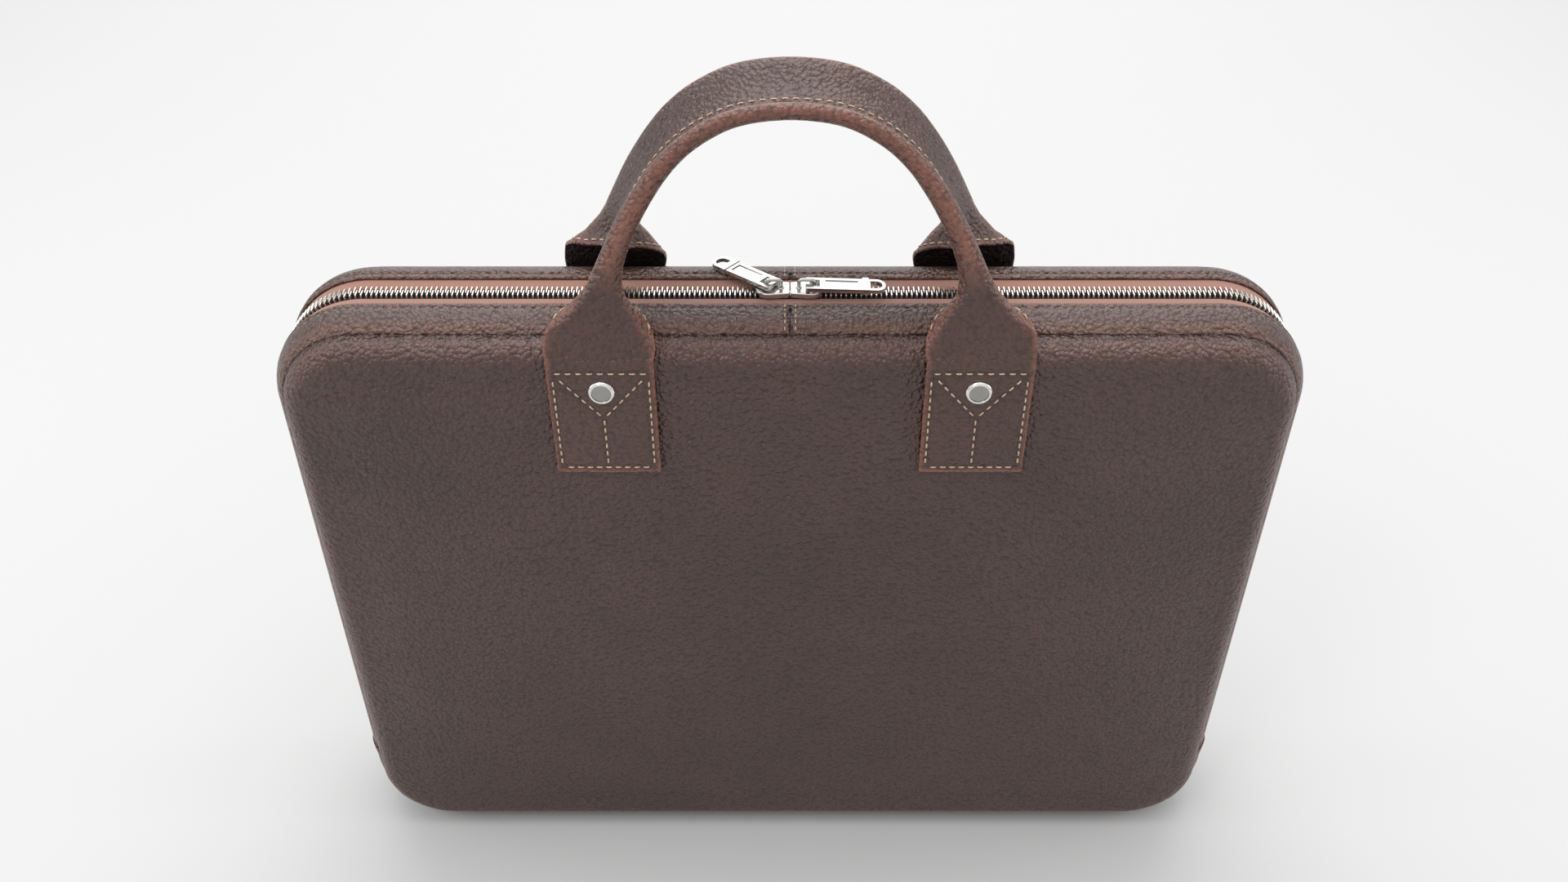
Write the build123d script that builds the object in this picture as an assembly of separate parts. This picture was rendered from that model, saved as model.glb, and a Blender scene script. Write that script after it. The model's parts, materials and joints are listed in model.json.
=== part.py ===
from build123d import *
from math import cos, hypot, radians, sin, sqrt
import os

# Zip-around leather briefcase for a 15-inch laptop. Millimetres. The case stands on its flat bottom
# gusset: the origin is under its middle, +Z is up, +X is to its right and the front panel faces -Y.
# Each piece is modelled on the front or the right side and mirrored where the other side repeats it.

# Overall size, measured between the seams that join the panels to the gussets.
case_width = 390.0
case_height = 280.0
seam_depth = 47.4  # front seam plane to back seam plane
corner_radius = 32.0

# Gussets, the strips between the two panels.
gusset_bulge = 5.0  # how far the gussets stand outside the seam outline
gusset_land = 5.0  # flat strip beside the zip, before the gusset arches down to its seam
zip_opening = 18.4  # between the front and the back gusset's zip edges
zip_end_height = 40.0  # the zip stops this far above the bottom seams

# Sheet thicknesses.
leather = 1.4
board = 2.0
lining = 0.8
tape = 0.8

# Padded panels.
panel_puff = 8.3  # how far a panel stands proud of its seam plane
panel_round = 7.6  # rounding of a panel's rim
board_gap = 0.5  # the board and the lining stop this far short of the gussets' seam edges

# Zip chain, one bead for each row of teeth.
chain_gap = 1.0  # between the two beads
bead_width = 2.4
bead_thickness = 2.4
stop_length = 3.0
stop_width = 7.2

# Zip sliders.
slider_length = 13.05
slider_width = 10.0
slider_plate = 1.2
slider_nose_width = 8.4
slider_post = 0.6
flange_width = 1.6
running_clearance = 0.3
body_clearance = 0.3  # between the two halves of the case where they meet face to face

# The bridge on a slider and the pull that hangs on it.
bridge_start = 2.55  # from the slider's flat end to the bridge
bridge_length = 7.2
bridge_wire = 1.4
bridge_bend = 1.2
pull_length = 30.6
pull_width = 8.0
pull_thickness = 1.6
pull_bar = 1.5  # the bar that turns under the bridge
pull_gap = 0.5  # between the slider and the pull
pull_axis_offset = 0.4  # from the middle of the bridge to the pull's axis
pull_hole_length = 3.9
pull_hole_width = 4.8
pull_end_round = 3.6
pull_window = (6.8, 12.5, 4.9)  # start, length and width of the sunk window
pull_window_depth = 0.4
pull_collar_start = 21.0
pull_collar_length = 2.5
pull_collar_width = 9.0
pull_collar_wall = 0.35
pull_slot_start = 24.0
pull_slot_length = 4.6
pull_slot_width = 5.0
pull_slot_round = 2.3
pull_droop = 2.0  # degrees below level
left_pull_yaw = 41.0  # degrees, swung towards the back of the case

# Handle patches and rivets.
patch_spacing = 141.0
patch_width = 41.0
patch_height = 45.7
patch_thickness = 3.0
patch_corner = 1.5
bend_below_top = 10.0  # the handles bend this far below the panel's top seam
bend_gap = 2.0  # free leather between a patch and the bend line
rivet_below_bend = 8.0
rivet_diameter = 10.0
rivet_height = 1.6
rivet_recess_diameter = 7.6
rivet_recess = 0.5
rivet_bevel = 0.6
rivet_post_diameter = 3.2
rivet_washer_diameter = 8.0
rivet_washer = 1.0
drill_clearance = 0.1

# Handles: a strap folded round a cord core, with its fold outwards and its edges towards the middle.
handle_lean = 8.0  # degrees inwards
handle_rise = 98.5  # bend line to the middle of the fold, along the handle
handle_top_width = 74.0  # between the corners of the arch
handle_top_radius = 50.0
knee_spacing = 120.0
knee_rise = 56.0
knee_radius = 60.0
neck_spacing = 134.0
neck_rise = 33.0
fold_radius = 3.6
fold_to_edge = 18.8
fold_drop = 25.0  # degrees below level, from the fold to the edges
web_thickness = 3.2  # the two sides of the strap, stitched together
strap_leather = 2.2
shoulder_rise = 16.0
core_diameter = 4.4

# Places worked out from the sizes above.
seam_y = seam_depth / 2
bottom_z = gusset_bulge
top_z = bottom_z + case_height
middle_z = (bottom_z + top_z) / 2
side_x = case_width / 2
zip_end_z = bottom_z + zip_end_height
panel_y = seam_y + panel_puff
patch_y = panel_y + patch_thickness
zip_edge_y = zip_opening / 2
land_y = zip_edge_y + gusset_land
gusset_span = seam_y - land_y
gusset_radius = (gusset_bulge**2 + gusset_span**2) / (2 * gusset_bulge)
# A strongly bulged gusset turns in so tightly that its inner face ends before the seam.
inner_reach = max(0, (gusset_radius - leather) ** 2 - gusset_span**2)
seam_edge = gusset_radius - gusset_bulge - sqrt(inner_reach)
board_inset = seam_edge + board_gap
tape_top = gusset_bulge - leather
tape_middle = tape_top - tape / 2
bead_inner_y = chain_gap / 2
bead_outer_y = bead_inner_y + bead_width
bend_z = top_z - bend_below_top
patch_top_z = bend_z - bend_gap
rivet_z = bend_z - rivet_below_bend
patch_x = patch_spacing / 2

# Heights u are measured outwards from the seam outline, as the gusset's bulge is.
channel_low = tape_middle - bead_thickness / 2 - running_clearance
channel_high = tape_middle + bead_thickness / 2 + running_clearance
slider_top = channel_high + slider_plate
pull_axis_u = slider_top + pull_gap + pull_thickness / 2
bar_reach = hypot(pull_bar, pull_thickness) / 2
bridge_u = pull_axis_u + bar_reach + running_clearance + bridge_wire / 2
bridge_x = running_clearance / 2 + bridge_start
pull_axis_x = bridge_x + bridge_length / 2 + pull_axis_offset


def mirrored(solid):
    """The same piece on the back of the case."""
    return mirror(solid, about=Plane.XZ)


def span(low_x, high_x, low_y, high_y):
    """A flat rectangle between two corners."""
    return Pos((low_x + high_x) / 2, (low_y + high_y) / 2) * Rectangle(high_x - low_x, high_y - low_y)


def seam_outline(inset):
    """The outline of a panel, drawn on an upright plane."""
    outline = RectangleRounded(case_width - 2 * inset, case_height - 2 * inset, corner_radius - inset)
    return Pos(0, middle_z) * outline


def upright_plate(near_y, far_y, inset):
    """A plate with the panels' outline, from near_y to far_y in front of the middle of the case."""
    return extrude(Plane.XZ.offset(near_y) * seam_outline(inset), far_y - near_y)


def puffed_panel(inset):
    """A panel's padded shape, or the same shape shrunk by inset all over."""
    block = upright_plate(seam_y, panel_y - inset, inset)
    rim = block.faces().sort_by(Axis.Y)[0].edges()
    return fillet(rim, panel_round - inset)


def drilled(solid, diameter, near_y, far_y):
    """The piece with a round hole for each rivet of the front handle."""
    for side in (-1, 1):
        circle = Pos(side * patch_x, rivet_z) * Circle(diameter / 2 + drill_clearance)
        solid -= extrude(Plane.XZ.offset(near_y) * circle, far_y - near_y)
    return solid


def below_gusset(depth, near_y, far_y):
    """The section under a front gusset's outer face, lowered by depth. Across is outwards, up is +Y."""
    arch_u = gusset_bulge - gusset_radius
    land = span(arch_u, gusset_bulge - depth, -land_y, 0)
    arch = Pos(arch_u, -land_y) * Circle(gusset_radius - depth)
    return (land + arch) & span(arch_u, gusset_bulge + 1, -far_y, -near_y)


def gusset_layer(outer, inner, near_y, far_y):
    """The section of one layer of a front gusset, between two depths under its outer face."""
    return below_gusset(outer, near_y, far_y) - below_gusset(inner, near_y, far_y)


def both_sides(section):
    """A section joined to its mirror image on the back of the case."""
    return section + mirror(section, about=Plane.XZ)


def along_rim(section, points):
    """A section carried along the seam outline, through points given as (x, z)."""
    corners = [(x, 0, z) for x, z in points]
    outwards = 1 if points[0][0] > 0 else -1
    start = Plane(origin=corners[0], x_dir=(outwards, 0, 0), z_dir=(0, 0, outwards))
    return sweep(start * section, path=FilletPolyline(*corners, radius=corner_radius))


def over_the_top(section, start_z):
    """A section carried from one end of the zip over the top to the other end."""
    return along_rim(section, [(-side_x, start_z), (-side_x, top_z), (side_x, top_z), (side_x, start_z)])


def half_way(section, side, start_z):
    """A section carried from the zip's end on one side to the middle of the top."""
    return along_rim(section, [(side * side_x, start_z), (side * side_x, top_z), (0, top_z)])


def under_the_bottom(section):
    """A section carried from one end of the zip under the bottom to the other end."""
    ends = [(side_x, zip_end_z), (side_x, bottom_z), (-side_x, bottom_z), (-side_x, zip_end_z)]
    return along_rim(section, ends)


def panel_pieces():
    """Leather skin, foam, board and lining of the front panel, drilled for the rivets."""
    board_y = seam_y - board
    skin = puffed_panel(0) - puffed_panel(leather)
    stiffener = upright_plate(board_y, seam_y, board_inset)
    stiffener = drilled(stiffener, rivet_post_diameter, board_y, seam_y)
    stiffener = drilled(stiffener, rivet_washer_diameter, board_y, board_y + rivet_washer)
    return {
        "panel": drilled(skin, rivet_post_diameter, seam_y, panel_y),
        "foam": drilled(puffed_panel(leather), rivet_post_diameter, seam_y, panel_y),
        "board": stiffener,
        "lining": upright_plate(board_y - lining, board_y, board_inset),
    }


def gusset_pieces():
    """The front gusset's two leather strips, their lining, and the front half of the zip."""
    strip = gusset_layer(0, leather, zip_edge_y, seam_y)
    inside = gusset_layer(leather + tape, leather + tape + lining, zip_edge_y, seam_y - board - lining)
    tape_section = span(tape_top - tape, tape_top, -land_y, -bead_outer_y)
    bead_low = tape_middle - bead_thickness / 2
    bead = span(bead_low, bead_low + bead_thickness, -bead_outer_y, -bead_inner_y)
    start_z = zip_end_z + body_clearance
    return {
        "gusset_left": half_way(strip, -1, start_z),
        "gusset_right": half_way(strip, 1, start_z),
        "gusset_lining": over_the_top(inside, start_z),
        "zip_tape": over_the_top(tape_section, start_z),
        "zip_chain": over_the_top(bead, zip_end_z + stop_length + 2 * body_clearance),
    }


def bottom_pieces():
    """The bottom gusset, which also closes the sides below the zip, and its lining."""
    inside = leather + tape
    lining_end = seam_y - board - lining - body_clearance
    return {
        "bottom_gusset": under_the_bottom(both_sides(gusset_layer(0, leather, 0, seam_y))),
        "bottom_lining": under_the_bottom(both_sides(gusset_layer(inside, inside + lining, 0, lining_end))),
    }


def zip_end_stops():
    """A metal stop across the tapes at each end of the zip."""
    height = tape_middle + bead_thickness / 2 - tape_top
    centre_x = side_x + tape_top + height / 2
    centre_z = zip_end_z + body_clearance + stop_length / 2
    stop = Box(height, stop_width, stop_length)
    return Compound([Pos(side * centre_x, 0, centre_z) * stop for side in (-1, 1)])


def handle_patch(side):
    """The end of a handle strap that is stitched and riveted flat on the front panel."""
    centre_z = patch_top_z - patch_height / 2
    face = Pos(side * patch_x, centre_z) * RectangleRounded(patch_width, patch_height, patch_corner)
    patch = extrude(Plane.XZ.offset(panel_y) * face, patch_thickness)
    return drilled(patch, rivet_post_diameter, panel_y, patch_y)


def rivet_caps():
    """The two bevelled caps on the front patches."""
    cap_y = patch_y + rivet_height
    caps = []
    for side in (-1, 1):
        centre = Pos(side * patch_x, rivet_z)
        cap = extrude(Plane.XZ.offset(patch_y) * centre * Circle(rivet_diameter / 2), rivet_height)
        cap = chamfer(cap.faces().sort_by(Axis.Y)[0].edges(), rivet_bevel)
        recess = Plane.XZ.offset(cap_y - rivet_recess) * centre * Circle(rivet_recess_diameter / 2)
        caps.append(cap - extrude(recess, rivet_recess))
    return Compound(caps)


def rivet_posts():
    """The posts of the front rivets, each with the washer that it is hammered over."""
    board_y = seam_y - board
    posts = []
    for side in (-1, 1):
        centre = Pos(side * patch_x, rivet_z)
        post = extrude(Plane.XZ.offset(board_y) * centre * Circle(rivet_post_diameter / 2), patch_y - board_y)
        washer = Plane.XZ.offset(board_y) * centre * Circle(rivet_washer_diameter / 2)
        posts.append(post + extrude(washer, rivet_washer))
    return Compound(posts)


def quad(points):
    """A flat four-cornered face."""
    return make_face(Polyline(*points, close=True))


def handle_pieces():
    """The front handle's leather strap and the cord core in its fold."""
    lean = radians(handle_lean)
    # Across this plane is +X, up it is along the handle, and its normal points out of the case.
    plane = Plane(origin=(0, -patch_y, bend_z), x_dir=(1, 0, 0), z_dir=(0, -cos(lean), sin(lean)))
    neck = (neck_spacing / 2, neck_rise)
    knee = (knee_spacing / 2, knee_rise)
    half_arch = [neck, knee, (handle_top_width / 2, handle_rise)]
    points = [(-x, y) for x, y in half_arch] + half_arch[::-1]
    corners = [plane.from_local_coords(Vector(x, y, -fold_radius)) for x, y in points]
    radii = [knee_radius, handle_top_radius, handle_top_radius, knee_radius]
    path = FilletPolyline(*corners, radius=radii)

    leg = corners[1] - corners[0]
    start = Plane(origin=corners[0], x_dir=leg.cross(plane.z_dir), z_dir=leg)
    drop = radians(fold_drop)
    to_edge = Vector(0, cos(drop), -sin(drop))
    fold = sweep(start * Circle(fold_radius), path=path)
    band = sweep(start * Line((-web_thickness / 2, 0), (web_thickness / 2, 0)), path=path)
    strap = fold + extrude(band, fold_to_edge, dir=to_edge)
    core = sweep(start * Circle(core_diameter / 2), path=path)

    # Below its neck the strap opens out flat to the width of the patch.
    into_strap = 1.6
    neck_top = neck_rise + into_strap
    slant = drop - lean
    edge_rise = neck_top - fold_to_edge * sin(slant)
    edge_depth = fold_radius + fold_to_edge * cos(slant)
    fold_half = fold_radius - leather / 2
    web_half = web_thickness / 2 - leather / 4
    neck_half_spacing = neck[0] + into_strap * (knee[0] - neck[0]) / (knee[1] - neck[1])
    for side in (-1, 1):
        neck_x = side * neck_half_spacing
        left = side * patch_x - patch_width / 2
        right = side * patch_x + patch_width / 2
        shoulder = [(left, shoulder_rise, 0), (right, shoulder_rise, 0),
                    (right, shoulder_rise, -strap_leather), (left, shoulder_rise, -strap_leather)]
        folded = [(neck_x - fold_half, neck_top, -leather), (neck_x + fold_half, neck_top, -leather),
                  (neck_x + web_half, edge_rise, -edge_depth), (neck_x - web_half, edge_rise, -edge_depth)]
        flat_end = Pos(side * patch_x, (body_clearance + shoulder_rise) / 2, -strap_leather / 2)
        flat_end = plane * flat_end * Box(patch_width, shoulder_rise - body_clearance, strap_leather)
        low, high = [quad([plane.from_local_coords(Vector(*point)) for point in end])
                     for end in (shoulder, folded)]
        strap += flat_end + loft([low, high], ruled=True)
    return {"handle_strap": strap - core, "handle_core": core}


def slider_outline():
    """A slider seen from above, its flat end at the middle of the case."""
    start_x = running_clearance / 2
    corner = 0.8
    round_x = start_x + slider_length - slider_width / 2
    edges = (Pos(round_x, 0) * Circle(slider_width / 2)).edges()
    for side in (-1, 1):
        edges += (Pos(start_x + corner, side * (slider_nose_width / 2 - corner)) * Circle(corner)).edges()
    return make_hull(edges)


def slider_body():
    """The right slider: a top and a bottom plate, joined by a post, with flanges over the tape."""
    outline = slider_outline()
    inner_y = slider_width / 2 - flange_width
    flanges = outline - Rectangle(4 * slider_length, 2 * inner_y)
    slot_low = tape_top - tape - running_clearance
    slot_high = tape_top + running_clearance
    top = extrude(Pos(0, 0, channel_high) * outline, slider_plate)
    top = fillet(top.faces().sort_by(Axis.Z)[-1].edges(), slider_plate / 3)
    body = top + extrude(Pos(0, 0, channel_low - slider_plate) * outline, slider_plate)
    body += extrude(Pos(0, 0, channel_low) * flanges, slot_low - channel_low)
    body += extrude(Pos(0, 0, slot_high) * flanges, channel_high - slot_high)
    post = span(running_clearance, bridge_start, -slider_post / 2, slider_post / 2)
    body += extrude(Pos(0, 0, channel_low) * post, channel_high - channel_low)
    return Pos(0, 0, top_z) * body


def slider_bridge():
    """The wire bridge on the right slider."""
    near_x = bridge_x + bridge_wire / 2
    far_x = bridge_x + bridge_length - bridge_wire / 2
    points = [(near_x, 0, slider_top), (near_x, 0, bridge_u), (far_x, 0, bridge_u), (far_x, 0, slider_top)]
    path = FilletPolyline(*points, radius=bridge_bend)
    wire = Pos(near_x, 0, slider_top) * Circle(bridge_wire / 2)
    return Pos(0, 0, top_z) * sweep(wire, path=path)


def pull_pieces():
    """A pull and its collar, with the turning axis at the origin and the pull lying along +X."""
    near_x = -pull_bar / 2
    far_x = near_x + pull_length
    outline = span(near_x, far_x, -pull_width / 2, pull_width / 2)
    outline = fillet(outline.vertices().sort_by(Axis.X)[2:], pull_end_round)
    outline = fillet(outline.vertices().sort_by(Axis.X)[:2], pull_bar / 2)
    outline -= span(pull_bar / 2, pull_bar / 2 + pull_hole_length, -pull_hole_width / 2, pull_hole_width / 2)
    slot_end = pull_slot_start + pull_slot_length
    slot = span(pull_slot_start, slot_end, -pull_slot_width / 2, pull_slot_width / 2)
    outline -= fillet(slot.vertices().sort_by(Axis.X)[2:], pull_slot_round)
    plate = extrude(Pos(0, 0, -pull_thickness / 2) * outline, pull_thickness)
    window_start, window_length, window_width = pull_window
    window = span(window_start, window_start + window_length, -window_width / 2, window_width / 2)
    plate -= extrude(Pos(0, 0, pull_thickness / 2 - pull_window_depth) * window, pull_window_depth)
    collar_x = pull_collar_start + pull_collar_length / 2
    collar_height = pull_thickness + 2 * pull_collar_wall
    collar = Pos(collar_x, 0, 0) * Box(pull_collar_length, pull_collar_width, collar_height)
    collar -= Pos(collar_x, 0, 0) * Box(pull_collar_length, pull_width, pull_thickness)
    return {"pull_plate": plate, "pull_collar": collar}


def write(nodes):
    """One file for each node."""
    os.makedirs("parts", exist_ok=True)
    for name, solid in nodes.items():
        export_step(solid, f"parts/{name}.step")


def model():
    """Every node of the briefcase, by name."""
    nodes = bottom_pieces()
    nodes["zip_end_stops"] = zip_end_stops()
    front = {**panel_pieces(), **gusset_pieces(), **handle_pieces()}
    front["handle_patch_left"] = handle_patch(-1)
    front["handle_patch_right"] = handle_patch(1)
    front["rivet_caps"] = rivet_caps()
    front["rivet_posts"] = rivet_posts()
    for name, solid in front.items():
        nodes["front_" + name] = solid
        nodes["back_" + name] = mirrored(solid)

    nodes["right_slider_body"] = slider_body()
    nodes["right_slider_bridge"] = slider_bridge()
    for name in ("slider_body", "slider_bridge"):
        nodes["left_" + name] = mirror(nodes["right_" + name], about=Plane.YZ)
    axis_z = top_z + pull_axis_u
    for name, solid in pull_pieces().items():
        drooped = Rot(0, pull_droop, 0) * solid
        nodes["right_" + name] = Pos(pull_axis_x, 0, axis_z) * drooped
        nodes["left_" + name] = Pos(-pull_axis_x, 0, axis_z) * Rot(0, 0, 180 - left_pull_yaw) * drooped
    return nodes


write(model())
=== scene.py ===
import json
import math
import bpy
import numpy as np
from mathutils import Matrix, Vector


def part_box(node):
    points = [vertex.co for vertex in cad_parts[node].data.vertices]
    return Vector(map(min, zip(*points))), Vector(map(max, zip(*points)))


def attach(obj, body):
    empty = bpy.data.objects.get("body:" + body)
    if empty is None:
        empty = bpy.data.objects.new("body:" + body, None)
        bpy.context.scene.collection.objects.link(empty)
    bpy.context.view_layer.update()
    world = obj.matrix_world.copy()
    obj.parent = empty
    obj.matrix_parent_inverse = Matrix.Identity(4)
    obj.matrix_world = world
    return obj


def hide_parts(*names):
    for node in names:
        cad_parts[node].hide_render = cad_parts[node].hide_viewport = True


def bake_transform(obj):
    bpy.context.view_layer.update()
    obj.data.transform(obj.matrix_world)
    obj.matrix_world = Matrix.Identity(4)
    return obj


# The leather briefcase's looks: padded panels, gussets, zip, handles, stitching and materials.
# Everything is in metres in the model's frame: +Z up, the front panel faces -Y.
# "u" is a height measured outwards from the seam outline, as on a rim of the case.

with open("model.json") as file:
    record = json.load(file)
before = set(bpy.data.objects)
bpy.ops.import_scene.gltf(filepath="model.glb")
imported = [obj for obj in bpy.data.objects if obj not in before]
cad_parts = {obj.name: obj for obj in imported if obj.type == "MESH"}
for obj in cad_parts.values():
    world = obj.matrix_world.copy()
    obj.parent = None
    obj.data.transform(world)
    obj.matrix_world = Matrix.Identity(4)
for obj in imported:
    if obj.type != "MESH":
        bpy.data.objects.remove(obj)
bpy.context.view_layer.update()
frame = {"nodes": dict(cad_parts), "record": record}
MM = 0.001
FRONT, BACK = -1, 1
HALF = {FRONT: "front", BACK: "back"}

# Places read from the frame.
panel_low, panel_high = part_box("front_panel")
half_width = panel_high[0]
seam_low_z = panel_low[2]
seam_top_z = panel_high[2]
seam_y = -panel_high[1]
panel_y = -panel_low[1]
half_height = (seam_top_z - seam_low_z) / 2
middle_z = (seam_top_z + seam_low_z) / 2
corner_radius = 32 * MM
zip_end_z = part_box("bottom_gusset")[1][2]
tape_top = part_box("back_zip_tape")[1][2] - seam_top_z
chain_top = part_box("back_zip_chain")[1][2] - seam_top_z
lining_y = -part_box("front_lining")[1][1]
patch_low, patch_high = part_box("front_handle_patch_left")
patch_y = -patch_low[1]
patch_x = -(patch_low[0] + patch_high[0]) / 2
patch_half = (patch_high[0] - patch_low[0]) / 2
joints = {joint["name"]: joint for joint in frame["record"]["behaviour"]["joints"]}
bend_z = joints["front_handle_fold"]["pos_m"][2]
rivet_low, rivet_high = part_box("front_rivet_caps")
rivet_z = (rivet_low[2] + rivet_high[2]) / 2


# ---------------------------------------------------------------- materials

def colour(red, green, blue):
    """A display colour, 0 to 255, as a linear colour."""
    parts = [c / 255 for c in (red, green, blue)]
    return tuple(c / 12.92 if c < 0.04045 else ((c + 0.055) / 1.055) ** 2.4 for c in parts) + (1.0,)


class Nodes:
    """A small helper that adds and joins a material's nodes."""

    def __init__(self, name):
        self.material = bpy.data.materials.new(name)
        self.material.use_nodes = True
        self.tree = self.material.node_tree
        self.shader = self.tree.nodes["Principled BSDF"]
        self.place = self.add("ShaderNodeTexCoord").outputs["Object"]

    def add(self, kind, **settings):
        node = self.tree.nodes.new(kind)
        for key, value in settings.items():
            setattr(node, key, value)
        return node

    def join(self, source, target):
        if hasattr(source, "is_output"):
            self.tree.links.new(source, target)
        else:
            target.default_value = source

    def noise(self, scale, detail=3.0, rough=0.55, place=None, distort=0.0):
        node = self.add("ShaderNodeTexNoise")
        self.join(place or self.place, node.inputs["Vector"])
        node.inputs["Scale"].default_value = scale
        node.inputs["Detail"].default_value = detail
        node.inputs["Roughness"].default_value = rough
        node.inputs["Distortion"].default_value = distort
        return node.outputs["Fac"]

    def cells(self, scale, place):
        node = self.add("ShaderNodeTexVoronoi", feature="SMOOTH_F1")
        self.join(place, node.inputs["Vector"])
        node.inputs["Scale"].default_value = scale
        node.inputs["Smoothness"].default_value = 0.35
        return node.outputs["Distance"]

    def math(self, operation, a, b=0.0):
        node = self.add("ShaderNodeMath", operation=operation)
        self.join(a, node.inputs[0])
        self.join(b, node.inputs[1])
        return node.outputs[0]

    def ramp(self, value, low, high, low_out=0.0, high_out=1.0):
        node = self.add("ShaderNodeMapRange", clamp=True)
        self.join(value, node.inputs["Value"])
        limits = {"From Min": low, "From Max": high, "To Min": low_out, "To Max": high_out}
        for name, number in limits.items():
            node.inputs[name].default_value = number
        return node.outputs["Result"]

    def mix(self, share, a, b):
        node = self.add("ShaderNodeMix", data_type="RGBA")
        self.join(share, node.inputs["Factor"])
        self.join(a, node.inputs["A"])
        self.join(b, node.inputs["B"])
        return node.outputs["Result"]

    def bump(self, height, distance, strength=1.0, normal=None):
        node = self.add("ShaderNodeBump")
        self.join(height, node.inputs["Height"])
        node.inputs["Distance"].default_value = distance
        node.inputs["Strength"].default_value = strength
        if normal is not None:
            self.join(normal, node.inputs["Normal"])
        return node.outputs["Normal"]

    def stretched(self, scale, turn=(0, 0, 0)):
        node = self.add("ShaderNodeMapping")
        self.join(self.place, node.inputs["Vector"])
        node.inputs["Scale"].default_value = scale
        node.inputs["Rotation"].default_value = turn
        return node.outputs["Vector"]

    def attribute(self, name):
        return self.add("ShaderNodeAttribute", attribute_name=name).outputs["Fac"]


# How many cells or waves of the leather's grain there are in a metre.
PEBBLES = 600
FINE_PEBBLES = 1400
CREASES = 330


def leather_material(name, dark, light, worn, grain=1.0, gloss=0.0):
    """Pebbled leather. The edge attribute reddens it where it is worn; on the handles' spines that reddening
    also paints a highlight. The seam shade attribute paints shade into its seams, stitch grooves and folds.
    """
    n = Nodes(name)
    warp = n.add("ShaderNodeTexNoise")
    n.join(n.place, warp.inputs["Vector"])
    warp.inputs["Scale"].default_value = CREASES
    warp.inputs["Detail"].default_value = 2.0
    push = n.add("ShaderNodeVectorMath", operation="SCALE")
    n.join(warp.outputs["Color"], push.inputs[0])
    push.inputs["Scale"].default_value = 0.0012
    warped = n.add("ShaderNodeVectorMath", operation="ADD")
    n.join(n.place, warped.inputs[0])
    n.join(push.outputs[0], warped.inputs[1])
    pebble = n.cells(PEBBLES, warped.outputs[0])
    fine = n.cells(FINE_PEBBLES, warped.outputs[0])
    crease = n.noise(CREASES, 4.0, 0.6, n.stretched((0.6, 1.0, 1.4), (0.0, 0.6, 0.3)), 0.6)
    soft = n.noise(24, 4.0, 0.6)
    wide = n.noise(8, 2.0)
    edge = n.attribute("edge")
    seam_shade = n.attribute("seam_shade")
    tone = n.math("ADD", n.ramp(soft, 0.32, 0.7, 0.0, 0.55), n.ramp(wide, 0.3, 0.7, 0.0, 0.45))
    body = n.mix(tone, dark, light)
    wear = n.math("MULTIPLY", edge, n.ramp(n.noise(40, 3.0, 0.5), 0.3, 0.7, 0.6, 0.95))
    body = n.mix(wear, body, worn)
    # Painted shade: a darker copy of the leather, laid into the pebbles' crevices and, by the seam shade
    # attribute, into seams, grooves and folds.
    shade = tuple(c * 0.3 for c in dark[:3]) + (1.0,)
    body = n.mix(n.ramp(pebble, 0.45, 0.75, 0.0, 0.45), body, shade)
    n.join(n.mix(seam_shade, body, shade), n.shader.inputs["Base Color"])
    roughness = n.ramp(crease, 0.3, 0.7, 0.25 - gloss, 0.38 - gloss)
    n.join(roughness, n.shader.inputs["Roughness"])
    domes = n.math("MULTIPLY", n.math("POWER", pebble, 1.6), -2.0)
    height = n.math("ADD", domes, n.math("MULTIPLY", fine, -0.5))
    height = n.math("ADD", height, n.math("MULTIPLY", crease, 0.15))
    normal = n.bump(soft, 0.0014, 0.12)
    normal = n.bump(height, 0.00056 * grain, 0.85, normal)
    n.join(normal, n.shader.inputs["Normal"])
    n.shader.inputs["Specular IOR Level"].default_value = 0.62
    return n.material


def metal_material(name, base, low, high):
    """Plated zinc: a bright metal with fine wear in its roughness."""
    n = Nodes(name)
    worn = n.noise(900, 4.0, 0.6, n.stretched((0.25, 1.0, 1.0)))
    cloud = n.noise(90, 3.0)
    clouded = tuple(c * 0.86 for c in base[:3]) + (1.0,)
    n.join(n.mix(n.ramp(cloud, 0.3, 0.7), base, clouded), n.shader.inputs["Base Color"])
    n.join(n.ramp(worn, 0.3, 0.75, low, high), n.shader.inputs["Roughness"])
    n.shader.inputs["Metallic"].default_value = 1.0
    n.join(n.bump(worn, 0.00003, 0.5), n.shader.inputs["Normal"])
    return n.material


def twill_material(name, dark, light, pitch=0.62 * MM, turn=math.radians(38), strength=0.9):
    """Woven tape or lining: fine diagonal ribs that follow the strip's own length and width."""
    n = Nodes(name)
    strip = n.add("ShaderNodeUVMap").outputs["UV"]
    mapping = n.add("ShaderNodeMapping")
    n.join(strip, mapping.inputs["Vector"])
    mapping.inputs["Rotation"].default_value = (0, 0, turn)
    wave = n.add("ShaderNodeTexWave", wave_type="BANDS", bands_direction="X")
    n.join(mapping.outputs["Vector"], wave.inputs["Vector"])
    wave.inputs["Scale"].default_value = 0.314 / pitch
    wave.inputs["Distortion"].default_value = 0.6
    wave.inputs["Detail Scale"].default_value = 2.0
    ribs = wave.outputs["Fac"]
    fuzz = n.noise(2600, 3.0)
    tone = n.math("ADD", n.math("MULTIPLY", ribs, 0.6), n.math("MULTIPLY", fuzz, 0.5))
    n.join(n.mix(tone, dark, light), n.shader.inputs["Base Color"])
    n.shader.inputs["Roughness"].default_value = 0.82
    n.shader.inputs["Sheen Weight"].default_value = 0.2
    n.join(n.bump(tone, 0.00018, strength), n.shader.inputs["Normal"])
    return n.material


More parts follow.
